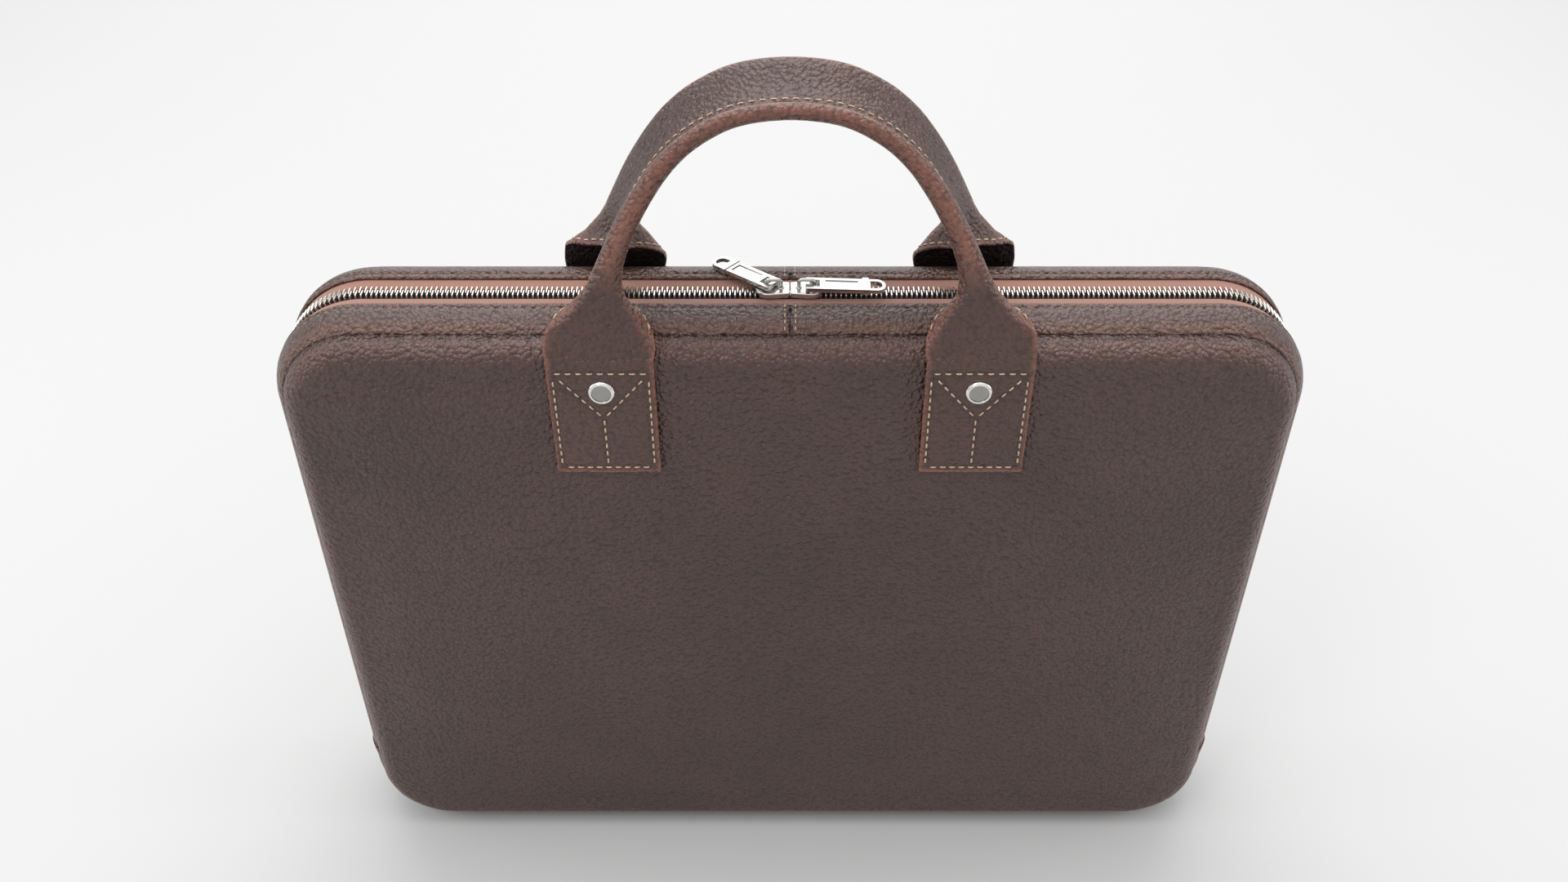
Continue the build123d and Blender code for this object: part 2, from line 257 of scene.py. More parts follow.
def thread_material(name, dark, light):
    """Waxed thread with a twist."""
    n = Nodes(name)
    twist = n.noise(1500, 3.0, 0.6)
    n.join(n.mix(n.ramp(twist, 0.3, 0.7), dark, light), n.shader.inputs["Base Color"])
    n.shader.inputs["Roughness"].default_value = 0.6
    n.join(n.bump(twist, 0.0001, 0.6), n.shader.inputs["Normal"])
    return n.material


def plain_material(name, dark, light, rough, scale):
    """The near-black painted shade under the zip's teeth, raw board or foam: a soft mottle and a fine tooth.
    """
    n = Nodes(name)
    mottle = n.noise(scale, 5.0, 0.6)
    n.join(n.mix(n.ramp(mottle, 0.3, 0.7), dark, light), n.shader.inputs["Base Color"])
    n.shader.inputs["Roughness"].default_value = rough
    n.join(n.bump(n.noise(scale * 6, 3.0), 0.0001, 0.4), n.shader.inputs["Normal"])
    return n.material


LEATHER = leather_material("leather_brown", colour(63, 41, 35), colour(80, 55, 47), colour(118, 73, 58))
# The strap's worn colour is brightened so that it also paints the highlight along the arch's spine.
STRAP = leather_material("leather_strap", colour(64, 41, 34), colour(84, 56, 47), colour(146, 92, 75),
                         grain=0.72, gloss=0.03)
INNER = leather_material("leather_inner", colour(24, 19, 19), colour(32, 26, 26), colour(40, 32, 30),
                         grain=0.6)
STEEL = metal_material("nickel", (0.6, 0.59, 0.57, 1.0), 0.12, 0.28)
TOOTH = metal_material("nickel_teeth", (0.72, 0.705, 0.67, 1.0), 0.2, 0.38)
RIVET = metal_material("nickel_rivet", (0.84, 0.83, 0.80, 1.0), 0.08, 0.2)
RIVET_FACE = metal_material("nickel_rivet_face", (0.36, 0.35, 0.33, 1.0), 0.16, 0.3)
TAPE = twill_material("zip_twill", colour(112, 75, 63), colour(164, 118, 100))
LINING = twill_material("lining_twill", colour(17, 16, 18), colour(40, 37, 40), pitch=0.9 * MM,
                        turn=math.radians(45), strength=0.5)
THREAD = thread_material("thread", colour(166, 136, 114), colour(222, 194, 168))
THREAD_DARK = thread_material("thread_dark", colour(112, 86, 70), colour(176, 146, 122))
# Painted shade: the near-black strip under the zip's teeth stands in for the shade in the gap between them.
ZIP_GAP_SHADE = plain_material("zip_gap_shade", colour(18, 14, 13), colour(34, 27, 25), 0.85, 1500)
BOARD = plain_material("board_fibre", colour(112, 88, 62), colour(140, 114, 84), 0.9, 300)
FOAM = plain_material("foam_cell", colour(188, 182, 170), colour(206, 200, 190), 0.95, 900)


# ---------------------------------------------------------------- mesh helpers

def make_object(name, points, faces, materials, body=None, edge=None, uvs=None, seam_shade=None):
    """A smooth mesh object in the frame, riding on a body."""
    mesh = bpy.data.meshes.new(name)
    mesh.from_pydata([tuple(p) for p in points], [], [tuple(int(i) for i in f) for f in faces])
    mesh.validate()
    for material in materials if isinstance(materials, (list, tuple)) else [materials]:
        mesh.materials.append(material)
    mesh.shade_smooth()
    for title, values in (("edge", edge), ("seam_shade", seam_shade)):
        if values is not None:
            layer = mesh.attributes.new(title, "FLOAT", "POINT")
            layer.data.foreach_set("value", np.asarray(values, np.float32))
    if uvs is not None:
        layer = mesh.uv_layers.new(name="UVMap")
        index = np.empty(len(mesh.loops), int)
        mesh.loops.foreach_get("vertex_index", index)
        layer.data.foreach_set("uv", np.asarray(uvs, np.float32)[index].ravel())
    obj = bpy.data.objects.new(name, mesh)
    bpy.context.scene.collection.objects.link(obj)
    if body:
        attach(obj, body)
    return obj


def grid_faces(rows, columns, closed=False, offset=0, flip=False):
    """Quads between rows of points, with the columns closed into a loop if asked."""
    faces = []
    last = columns if closed else columns - 1
    for i in range(rows - 1):
        for j in range(last):
            a = offset + i * columns + j
            b = offset + i * columns + (j + 1) % columns
            quad = (a, b, b + columns, a + columns)
            faces.append(quad[::-1] if flip else quad)
    return faces


def apply_modifiers(obj):
    """The object's mesh as its modifiers leave it."""
    bpy.context.view_layer.update()
    graph = bpy.context.evaluated_depsgraph_get()
    mesh = bpy.data.meshes.new_from_object(obj.evaluated_get(graph), depsgraph=graph)
    obj.modifiers.clear()
    obj.data = mesh
    mesh.shade_smooth()
    return obj


# ---------------------------------------------------------------- the rim of the case

side_run = 2 * (half_height - corner_radius)
top_run = 2 * (half_width - corner_radius)
corner_run = math.pi * corner_radius / 2
rim_length = 2 * (side_run + top_run) + 4 * corner_run
rim_start_z = middle_z - half_height + corner_radius
zip_start = zip_end_z - rim_start_z
zip_stop = 2 * side_run + top_run + 2 * corner_run - zip_start
rim_middle = (zip_start + zip_stop) / 2


def rim(s):
    """(x, z) on the seam outline and its outward normal, s metres up the left side and on clockwise."""
    s = s % rim_length
    inner_x = half_width - corner_radius
    inner_z = half_height - corner_radius
    corners = [(-inner_x, inner_z, math.pi), (inner_x, inner_z, math.pi / 2),
               (inner_x, -inner_z, 0.0), (-inner_x, -inner_z, -math.pi / 2)]
    for k, run in enumerate((side_run, top_run, side_run, top_run)):
        cx, cz, angle = corners[k]
        if s < run:
            nx, nz = math.cos(angle), math.sin(angle)
            back = run - s
            x = cx + corner_radius * nx - back * nz
            z = cz + corner_radius * nz + back * nx
            return x, z + middle_z, nx, nz
        s -= run
        if s < corner_run:
            turn = angle - s / corner_radius
            nx, nz = math.cos(turn), math.sin(turn)
            return cx + corner_radius * nx, cz + corner_radius * nz + middle_z, nx, nz
        s -= corner_run
    return rim(0.0)


def along_rim(name, start, stop, profile, materials, body, side=FRONT, step=3.2 * MM,
              lift=None, seam_at=None):
    """A closed profile carried along the rim. Its points are (u, y, wear, seam shade), u and y in mm."""
    places = list(np.linspace(start, stop, max(2, int(round((stop - start) / step)) + 1)))
    if seam_at:
        close = [rim_middle + k * 0.25 * MM for k in range(-8, 9)]
        places += [place for place in close if start < place < stop]
        places.sort()
    rings = len(places)
    points, uvs, worn, shaded = [], [], [], []
    lengths = [0.0]
    for a, b in zip(profile, profile[1:]):
        lengths.append(lengths[-1] + math.hypot(b[0] - a[0], b[1] - a[1]) * MM)
    for s in places:
        x, z, nx, nz = rim(s)
        extra = lift(s) if lift else 0.0
        shade = seam_at(s) if seam_at else 0.0
        for j, (u, y, *marks) in enumerate(profile):
            height = u * MM + (extra if u > 0 else 0.0)
            points.append((x + height * nx, side * y * MM, z + height * nz))
            uvs.append((s, lengths[j]))
            wear, dark = marks if marks else (0.0, 0.0)
            worn.append(min(1.0, max(0.0, wear)))
            shaded.append(min(1.0, max(0.0, dark, shade)))
    columns = len(profile)
    faces = grid_faces(rings, columns, closed=True, flip=side == FRONT)
    first = list(range(columns))
    last = [(rings - 1) * columns + j for j in range(columns)]
    if side == FRONT:
        faces += [first, last[::-1]]
    else:
        faces += [first[::-1], last]
    return make_object(name, points, faces, materials, body, worn, uvs, shaded)


def smooth_profile(points, per_span=3):
    """More points along a Catmull-Rom curve through the given ones."""
    knots = [np.array(p, float) for p in points]
    knots = [2 * knots[0] - knots[1]] + knots + [2 * knots[-1] - knots[-2]]
    curve = []
    for a, b, c, d in zip(knots, knots[1:], knots[2:], knots[3:]):
        for k in range(per_span):
            t = k / per_span
            curve.append(0.5 * (2 * b + (c - a) * t + (2 * a - 5 * b + 4 * c - d) * t * t
                                + (3 * b - a - 3 * c + d) * t ** 3))
    curve.append(knots[-2])
    return [tuple(p) for p in curve]


# ---------------------------------------------------------------- stitches

def capsule(length, radius):
    """A stitch lying along X: a thread that dives into the leather at both ends."""
    points, faces = [], []
    stations = [(-0.5, 0.0, -1.3), (-0.44, 0.75, -0.75), (-0.3, 1.0, -0.12), (0.0, 1.05, 0.05),
                (0.3, 1.0, -0.12), (0.44, 0.75, -0.75), (0.5, 0.0, -1.3)]
    sides = 6
    for along, size, drop in stations:
        for k in range(sides):
            angle = 2 * math.pi * k / sides
            points.append((along * length, radius * size * math.cos(angle),
                           radius * (size * math.sin(angle) * 0.8 + drop)))
    faces = grid_faces(len(stations), sides, closed=True, flip=True)
    return np.array(points), faces


def stitch_rows(name, rows, body, thread, pitch, length, radius):
    """Stitches along rows of (point, normal) pairs."""
    shape, shape_faces = capsule(length, radius)
    points, faces = [], []
    for row in rows:
        places = np.array([p for p, _ in row])
        normals = np.array([n for _, n in row])
        steps = np.linalg.norm(np.diff(places, axis=0), axis=1)
        travelled = np.concatenate([[0], np.cumsum(steps)])
        count = max(1, int(round(travelled[-1] / pitch)))
        for k in range(count):
            middle = (k + 0.5) * travelled[-1] / count
            ends = [np.array([np.interp(middle + d, travelled, places[:, i]) for i in range(3)])
                    for d in (-0.4 * length, 0.4 * length)]
            centre = np.array([np.interp(middle, travelled, places[:, i]) for i in range(3)])
            normal = np.array([np.interp(middle, travelled, normals[:, i]) for i in range(3)])
            along = ends[1] - ends[0]
            along /= np.linalg.norm(along)
            across = np.cross(normal, along)
            across /= np.linalg.norm(across)
            up = np.cross(along, across)
            base = len(points)
            basis = np.array([along, across, up])
            points.extend(centre + shape @ basis)
            faces.extend([tuple(base + i for i in face) for face in shape_faces])
    return make_object(name, points, faces, thread, body)


# ---------------------------------------------------------------- padded panels

def outline_direction(t_x, t_z):
    """A point of the seam outline for a direction on a square's boundary, evenly spaced along each side."""
    if abs(t_z) >= abs(t_x):
        sign, t = math.copysign(1, t_z), t_x / abs(t_z)
        run, middle = top_run, side_run + corner_run + top_run / 2
        s = middle + t * (run + corner_run) / 2
        x, z, _, _ = rim(s)
        return x, (z - middle_z) * sign
    sign, t = math.copysign(1, t_x), t_z / abs(t_x)
    s = side_run / 2 + t * (side_run + corner_run) / 2
    x, z, _, _ = rim(s)
    return -x * sign, z - middle_z


def inset_distance(x, z):
    """How far a point lies inside the seam outline."""
    qx = abs(x) - (half_width - corner_radius)
    qz = abs(z) - (half_height - corner_radius)
    outside = math.hypot(max(qx, 0), max(qz, 0))
    return corner_radius - outside - min(max(qx, qz), 0)


def grid_lines(rim_steps, inner_steps):
    """Grid lines from -1 to 1, closer together near the rim."""
    rim_share = 0.13
    half = [i / inner_steps * (1 - rim_share) for i in range(inner_steps)]
    half += [1 - rim_share * (1 - i / rim_steps) ** 1.6 for i in range(rim_steps + 1)]
    return [-v for v in half[:0:-1]] + half


def ripple(a, b, seed):
    """A smooth, fixed unevenness between about -1 and 1."""
    total = 0.0
    for k in range(1, 5):
        wave = math.sin(a * (0.9 * k + 0.37 * seed) + 1.7 * k * seed)
        total += wave * math.cos(b * (1.1 * k) + 0.9 * seed * k) / k
    return total / 1.6


def panel_sheet(lines, depth_at, shrink=1.0):
    """Points and faces of a sheet with the panels' outline. depth_at gives its distance from the middle."""
    points, insets = [], []
    for b in lines:
        for a in lines:
            m = max(abs(a), abs(b))
            if m < 1e-9:
                x, z = 0.0, 0.0
            else:
                x, z = outline_direction(a / m, b / m)
                x, z = x * m * shrink, z * m * shrink
            inset = inset_distance(x, z)
            insets.append(inset)
            points.append((x, -depth_at(x, z, inset), z + middle_z))
    n = len(lines)
    return points, grid_faces(n, n), insets


def skin_depth(x, z, inset):
    """The padded skin: it dives into the seam at its rim, swells over the foam and is slightly uneven."""
    puff = panel_y - seam_y
    edge = max(inset, 0.0)
    share = min(1.0, edge / (9.0 * MM))
    swell = puff * (1 - (1 - share) ** 2.2) ** 0.62
    tuck = -1.8 * MM * math.exp(-(edge / (0.7 * MM)) ** 2)
    crown = 0.75 * MM * (1 - math.exp(-edge / (60 * MM)))
    uneven = 0.28 * MM * ripple(x * 26, z * 22, 1.3) * (1 - math.exp(-edge / (20 * MM)))
    along = math.atan2(z, x * 0.8) * 60
    near_seam = math.exp(-(edge / (6 * MM) - 0.7) ** 2)
    pucker = 0.04 * MM * math.sin(along * 1.9 + 2.2 * math.sin(along * 0.31)) * near_seam
    return seam_y + swell + tuck + crown + uneven + pucker


def inflate(obj, hold, frames=16, pressure=2.0, cap=1.0 * MM):
    """Lets the padded leather swell as cloth, held where hold says, and moves no point further than cap."""
    rest = np.array([v.co for v in obj.data.vertices])
    group = obj.vertex_groups.new(name="held")
    for i, weight in enumerate(hold):
        group.add([i], float(weight), "REPLACE")
    cloth = obj.modifiers.new("Cloth", "CLOTH")
    settings = cloth.settings
    settings.quality = 6
    settings.mass = 0.4
    settings.vertex_group_mass = "held"
    settings.pin_stiffness = 8.0
    settings.tension_stiffness = 40
    settings.compression_stiffness = 40
    settings.shear_stiffness = 20
    settings.bending_stiffness = 6.0
    settings.use_pressure = True
    settings.uniform_pressure_force = pressure
    settings.shrink_min = -0.002
    settings.effector_weights.gravity = 0.0
    cloth.collision_settings.use_collision = False
    cloth.point_cache.frame_start = 1
    cloth.point_cache.frame_end = frames
    scene = bpy.context.scene
    for number in range(1, frames + 1):
        scene.frame_set(number)
    graph = bpy.context.evaluated_depsgraph_get()
    swollen = np.array([v.co for v in obj.evaluated_get(graph).data.vertices])
    obj.modifiers.clear()
    obj.vertex_groups.clear()
    scene.frame_set(1)
    move = swollen - rest
    size = np.linalg.norm(move, axis=1)
    move *= (np.minimum(size, cap) / np.maximum(size, 1e-9))[:, None]
    return rest + move


def panel_edge(insets):
    """How worn each point of a panel is: most just inside its seam."""
    return [0.3 * math.exp(-((max(d, 0) / MM - 2.5) / 4.0) ** 2) for d in insets]


# The cloth is held fast up to the first distance inside the seam, and moves freely from the second.
HELD_INSET = 8 * MM
FREE_INSET = 22 * MM


def build_panels():
    """The two padded leather skins. The front one is swollen as cloth and the back one mirrors it."""
    lines = grid_lines(12, 42)
    points, faces, insets = panel_sheet(lines, skin_depth)
    worn = panel_edge(insets)
    # Painted shade: a narrow dark line along the seam at the panel's rim.
    shaded = [math.exp(-(max(d, 0) / (0.5 * MM)) ** 2) for d in insets]
    front = make_object("front_panel_skin", points, faces, LEATHER, edge=worn, seam_shade=shaded)
    shape = np.array(points)
    hold = []
    for (x, _, z), inset in zip(points, insets):
        at_patch = abs(abs(x) - patch_x) < patch_half + 2 * MM and z > bend_z - 52 * MM
        fading = (FREE_INSET - inset) / (FREE_INSET - HELD_INSET)
        hold.append(1.0 if at_patch else min(1.0, max(0.0, fading)))
    shape = inflate(front, hold)
    front.data.vertices.foreach_set("co", shape.astype(np.float32).ravel())
    front.data.update()
    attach(front, "front_half")
    mirrored = shape * np.array([-1.0, -1.0, 1.0])
    back = make_object("back_panel_skin", mirrored, faces, LEATHER, "back_half", worn, seam_shade=shaded)
    for obj, half in ((front, "front"), (back, "back")):
        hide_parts(half + "_panel", half + "_foam")


def lining_depth(x, z, inset):
    """The lining over the board, pulled down at its edge and a little uneven."""
    edge = max(inset - 3 * MM, 0.0)
    return lining_y + 0.9 * MM * math.exp(-edge / (3 * MM)) - 0.25 * MM * ripple(x * 30, z * 34, 2.1)


def build_panel_linings():
    """The linings that cover the boards inside the case."""
    lines = grid_lines(4, 26)
    points, faces, _ = panel_sheet(lines, lining_depth, shrink=(half_width - 1.2 * MM) / half_width)
    faces = [face[::-1] for face in faces]
    shape = np.array(points)
    uvs = shape[:, [0, 2]]
    front = make_object("front_panel_lining", shape, faces, LINING, "front_half", uvs=uvs)
    turned = shape * np.array([-1, -1, 1])
    back = make_object("back_panel_lining", turned, faces, LINING, "back_half", uvs=uvs)
    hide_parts("front_lining", "front_board")
    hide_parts("back_lining", "back_board")


# ---------------------------------------------------------------- gussets

# The outer face of every gusset where it turns into a panel's seam, as along_rim takes it.
# The last value of each point is painted shade, full where the leather tucks into the seam.
SEAM_TURN = [(-2.4, 22.5, 0, 1), (-1.4, 23.3, 0.2, 1), (-0.3, 23.45, 0.5, 0.75), (0.8, 22.95, 0.6, 0),
             (2.2, 21.4, 0.45, 0), (3.75, 18.5, 0.1, 0)]
STITCH_LINE = 12.5  # from the middle of the zip to the topstitching, in millimetres


def gusset_profile():
    """Section of a gusset beside the zip: turned into the panel's seam, folded and stitched at the zip."""
    # In the profile, the last value of each point paints shade into the stitch groove, under the fold and
    # over the inner face.
    stitched = [(4.7, 15.3, 0, 0), (4.9, 13.7, 0, 0), (4.65, 12.85, 0, 0.1), (4.15, 12.45, 0.1, 0.75)]
    folded = [(4.5, 12.0, 0.1, 0.1), (4.95, 11.2, 0.1, 0), (5.0, 10.3, 0.3, 0), (4.7, 9.4, 0.55, 0),
              (4.05, 9.05, 0.5, 0.2), (3.5, 9.5, 0.2, 0.8)]
    inner = [(3.0, 11.0, 0, 1), (2.9, 14.2, 0, 1), (1.7, 18.6, 0, 1), (-0.9, 21.6, 0, 1), (-2.4, 22.0, 0, 1)]
    return smooth_profile(SEAM_TURN + stitched + folded, 2) + inner


def build_gussets():
    """Left and right strips of each gusset, meeting in a seam at the middle of the top, and their linings."""
    profile = gusset_profile()
    lining = [(2.75, 9.6), (2.6, 14.2), (1.3, 18.4), (-1.3, 21.2), (-1.9, 20.9), (0.4, 18.0), (2.0, 13.8),
              (2.2, 9.8)]

    def dip(s):
        return -0.8 * MM * math.exp(-((s - rim_middle) / (0.75 * MM)) ** 2)

    # Painted shade in the dip at the gusset's middle seam.
    def middle_seam_shade(s):
        return 1.2 * math.exp(-((s - rim_middle) / (0.5 * MM)) ** 2)

    for side in (FRONT, BACK):
        half = HALF[side]
        for name, start, stop in (("left", zip_start, rim_middle), ("right", rim_middle, zip_stop)):
            strip = along_rim(f"{half}_gusset_{name}_leather", start, stop, profile, LEATHER, half + "_half",
                              side, lift=dip, step=2.0 * MM, seam_at=middle_seam_shade)
            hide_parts(f"{half}_gusset_{name}")
        cloth = along_rim(f"{half}_gusset_lining_cloth", zip_start, zip_stop, lining, LINING, half + "_half",
                          side)
        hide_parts(f"{half}_gusset_lining")


def bottom_profile(outer, inner):
    """A closed section from its outer and its inner half, each given from the seam to the middle."""
    def mirrored(half):
        return half + [(u, -y, *marks) for u, y, *marks in half[-2::-1]]

    return mirrored(outer) + mirrored(inner)[::-1]


def build_bottom():
    """The bottom gusset and its lining, left on no body, and the stitches at its two ends."""
    outer = smooth_profile(SEAM_TURN + [(4.75, 14.6, 0, 0), (5.0, 8.0, 0, 0), (5.0, 0.0, 0, 0)], 2)
    # The inner face carries full painted shade.
    inner = [(-2.4, 22.0, 0, 1), (-0.9, 21.6, 0, 1), (1.7, 18.6, 0, 1), (3.3, 14.2, 0, 1), (3.5, 8.0, 0, 1),
             (3.5, 0.0, 0, 1)]
    profile = bottom_profile(outer, inner)
    overlap = 2.6 * MM
    start, stop = zip_stop - overlap, rim_length + zip_start + overlap

    def lap(s):
        end = min(s - start, stop - s)
        return 0.75 * MM * max(0.0, 1 - end / (7 * MM)) ** 0.5

    strip = along_rim("bottom_gusset_leather", start, stop, profile, LEATHER, None, BACK, lift=lap,
                      step=2.4 * MM)
    inside = bottom_profile([(-2.1, 21.0), (1.0, 18.2), (2.6, 14.2), (2.75, 0.0)],
                            [(-2.3, 20.4), (0.6, 17.6), (2.1, 13.8), (2.2, 0.0)])
    cloth = along_rim("bottom_lining_cloth", zip_stop, rim_length + zip_start, inside, LINING, None, BACK)
    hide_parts("bottom_gusset")
    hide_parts("bottom_lining")
    for obj in (strip, cloth):
        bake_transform(obj)
    rows = []
    for s in (start + 2.0 * MM, stop - 2.0 * MM):
        x, z, nx, nz = rim(s)
        rows.append([((x + nx * (5.05 * MM + lap(s)), y * MM, z + nz * 5.05 * MM), (nx, 0, nz))
                     for y in np.linspace(-8, 16, 13)])
    stitch_rows("bottom_gusset_stitches", rows, "back_half", THREAD_DARK, 3.6 * MM, 2.3 * MM, 0.24 * MM)


# ---------------------------------------------------------------- zip

def build_tape():
    """The two halves of the zip's woven tape, and a near-black strip of painted shade that fills the gap
    under the teeth.
    """
    top = tape_top / MM - 0.05
    profile = [(top - 0.35, 13.8), (top - 0.05, 12.0), (top, 8.0), (top - 0.05, 5.4), (top - 0.25, 4.3),
               (top - 0.6, 3.5), (top - 0.9, 3.2), (top - 1.2, 3.3), (top - 0.9, 5.0), (top - 0.8, 13.8)]
    gap_shade_profile = [(2.55, 3.5), (2.4, 2.6), (2.3, 1.0), (2.3, 0.12), (1.9, 0.12), (1.9, 3.5)]
    for side in (FRONT, BACK):
        half = HALF[side]
        strip = along_rim(f"{half}_zip_tape_cloth", zip_start + 0.4 * MM, zip_stop - 0.4 * MM, profile, TAPE,
                          half + "_half", side)
        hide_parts(f"{half}_zip_tape")
        along_rim(f"{half}_zip_gap_shade", zip_start + 2.0 * MM, zip_stop - 2.0 * MM, gap_shade_profile, ZIP_GAP_SHADE, half + "_half",
                  side)


def tooth_shape():
    """One tooth: legs that clamp the tape and a head that reaches past the middle. Along, across, height."""
    # Each station is (across, half its length along the zip, half its height), in millimetres.
    stations = [(3.12, 0.24, 0.75), (2.95, 0.33, 1.0), (1.3, 0.34, 1.06), (0.3, 0.31, 1.03),
                (-0.55, 0.29, 0.95), (-0.8, 0.2, 0.65)]
    cut = 0.3
    octagon = [(1, 1 - cut), (1 - cut, 1), (cut - 1, 1), (-1, 1 - cut), (-1, cut - 1), (cut - 1, -1),
               (1 - cut, -1), (1, cut - 1)]
    points = []
    for across, half_along, half_high in stations:
        for a, h in octagon:
            points.append((a * half_along * MM, across * MM, h * half_high * MM))
    sides = len(octagon)
    faces = grid_faces(len(stations), sides, closed=True)
    faces += [tuple(reversed(range(sides))), tuple(range(len(points) - sides, len(points)))]
    return np.array(points), faces


def build_teeth():
    """Both rows of teeth, set so that they interleave."""
    shape, shape_faces = tooth_shape()
    centre_u = chain_top - 0.95 * MM
    pitch = 1.93 * MM
    margin = 4.6 * MM
    start, stop = zip_start + margin, zip_stop - margin
    count = int((stop - start) / pitch)
    for side in (FRONT, BACK):
        half = HALF[side]
        points, faces = [], []
        for k in range(count):
            s = start + (k + (0.5 if side == BACK else 0.0)) * pitch
            x, z, nx, nz = rim(s)
            along = np.array([nz, 0.0, -nx])
            across = np.array([0.0, float(side), 0.0])
            up = np.array([nx, 0.0, nz])
            base = len(points)
            place = np.array([x, 0.0, z]) + up * centre_u
            points.extend(place + shape @ np.array([along, across, up]))
            order = 1 if side == FRONT else -1
            faces.extend([tuple(base + i for i in face[::order]) for face in shape_faces])
        teeth = make_object(f"{half}_zip_teeth", points, faces, TOOTH, half + "_half")
        teeth.data.shade_flat()
        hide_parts(f"{half}_zip_chain")


def build_top_stitches():
    """Topstitching beside the zip and the two rows at the middle seam of each gusset."""
    runs = ((zip_start + 3 * MM, rim_middle - 2 * MM), (rim_middle + 2 * MM, zip_stop - 3 * MM))
    lying = 4.62 * MM
    # Places (y, u) down a gusset's outer face, in millimetres.
    over_gusset = ((9.8, 4.9), (11.0, 4.95), (13.7, 4.85), (16.0, 4.5), (18.5, 3.75), (20.5, 2.75),
                   (21.9, 1.75), (23.0, 0.75))
    for side in (FRONT, BACK):
        half = HALF[side]
        body = half + "_half"
        rows = []
        for start, stop in runs:
            row = []
            for s in np.linspace(start, stop, 160):
                x, z, nx, nz = rim(s)
                row.append(((x + lying * nx, side * STITCH_LINE * MM, z + lying * nz), (nx, 0, nz)))
            rows.append(row)
        stitch_rows(f"{half}_gusset_stitches", rows, body, THREAD_DARK, 3.5 * MM, 2.1 * MM, 0.21 * MM)
        rows = []
        for offset in (-2.0 * MM, 2.0 * MM):
            x, z, nx, nz = rim(rim_middle + offset)
            row = []
            for y, u in over_gusset:
                normal = (0, side * max(0, (y - 12) / 12), 1)
                row.append(((x + u * nx * MM, side * y * MM, z + u * MM), normal))
            rows.append(row)
        stitch_rows(f"{half}_seam_stitches", rows, body, THREAD, 2.7 * MM, 1.9 * MM, 0.2 * MM)


# ---------------------------------------------------------------- handles

LEAN = math.radians(8)  # inwards
DROP = math.radians(25)  # from the fold to the edges, below level
STRAP_THICKNESS = 1.7
HANDLE_COLUMNS = 24  # points from the middle of the strap to its edge
patch_foot = (patch_low[2] - bend_z) / MM


def handle_route():
    """(x, rise) of the strap's middle over the arch, from foot to foot, in mm. Rise 0 is the bend."""
    half = [(patch_x / MM, patch_foot + k * (8 - patch_foot) / 8) for k in range(9)]
    half += [(69.4, 15), (68.5, 22), (68.0, 28), (67.1, 34), (65.1, 42), (61.6, 51), (56.7, 61), (50.7, 71),
             (43.4, 80.7), (33.4, 89.5), (18.8, 96.8), (0, 99.2)]
    whole = [(-x, r) for x, r in half] + half[-2::-1]
    return smooth_profile(whole, 6)


# (rise, half the width of the strap), in millimetres.
HALF_WIDTHS = ((14.0, 20.5), (16.0, 20.1), (19.0, 17.9), (24.0, 13.7), (29.0, 10.0), (33.0, 7.4), (38.0, 5.7),
               (44.0, 4.8), (50.0, 4.4), (62.0, 4.05), (76.0, 3.75), (90.0, 3.3), (100.0, 3.15))


def strap_section(rise):
    """(across, depth) over half the strap, from its middle to its edge, and how far it is folded."""
    columns = HANDLE_COLUMNS
    half = float(np.interp(rise, *zip(*HALF_WIDTHS)))
    flat_length, folded_length = patch_half / MM, 25.0
    share = min(1.0, max(0.0, (flat_length - half) / (flat_length - 7.4)))
    length = flat_length + (folded_length - flat_length) * share
    radius = min(half, 4.6)
    turn = math.pi / 2
    if half > flat_length - 0.02:
        flat, turned = length, 0.0
    elif half > length - radius * (turn - 1):
        low, high = 0.0, turn
        for _ in range(30):
            turned = (low + high) / 2
            if length - radius * (turned - math.sin(turned)) > half:
                low = turned
            else:
                high = turned
        flat = length - radius * turned
    else:
        flat, turned = half - radius, turn
    closing = min(1.0, max(0.0, (rise - 20) / 16))
    across, depth = [], []
    for j in range(columns):
        reach = length * j / (columns - 1)
        past = max(0.0, reach - flat)
        angle = min(past / radius, turned)
        back = max(0.0, past - radius * turned)
        a = min(reach, flat) + radius * math.sin(angle)
        d = radius * (1 - math.cos(angle))
        if back > 0:
            # The two sides draw together until their edges meet.
            over = (flat + radius - STRAP_THICKNESS - 0.05) * closing
            pull = over * (1 - math.cos(min(1.0, back / 11.0) * math.pi)) / 2
            a -= pull
            d += back - 0.25 * pull
        across.append(a)
        depth.append(d)
    return across, depth, share


def patch_relief(dx, rise):
    """How deep the stitches pull a patch's leather in."""
    edge = patch_half / MM - 2.6
    low = patch_foot + 3.2
    lines = [((-edge, 0), (edge, 0)), ((-edge, -3), (-edge, low)), ((edge, -3), (edge, low)),
             ((-edge, low), (edge, low)), ((-edge + 1, -1.5), (0, -21)), ((edge - 1, -1.5), (0, -21)),
             ((0, -21), (0, low))]
    nearest = math.inf
    for (ax, az), (bx, bz) in lines:
        span_x, span_z = bx - ax, bz - az
        t = ((dx - ax) * span_x + (rise - az) * span_z) / (span_x ** 2 + span_z ** 2)
        t = min(1.0, max(0.0, t))
        nearest = min(nearest, math.hypot(dx - ax - t * span_x, rise - az - t * span_z))
    return 0.5 * math.exp(-(nearest / 1.3) ** 2) - 0.12


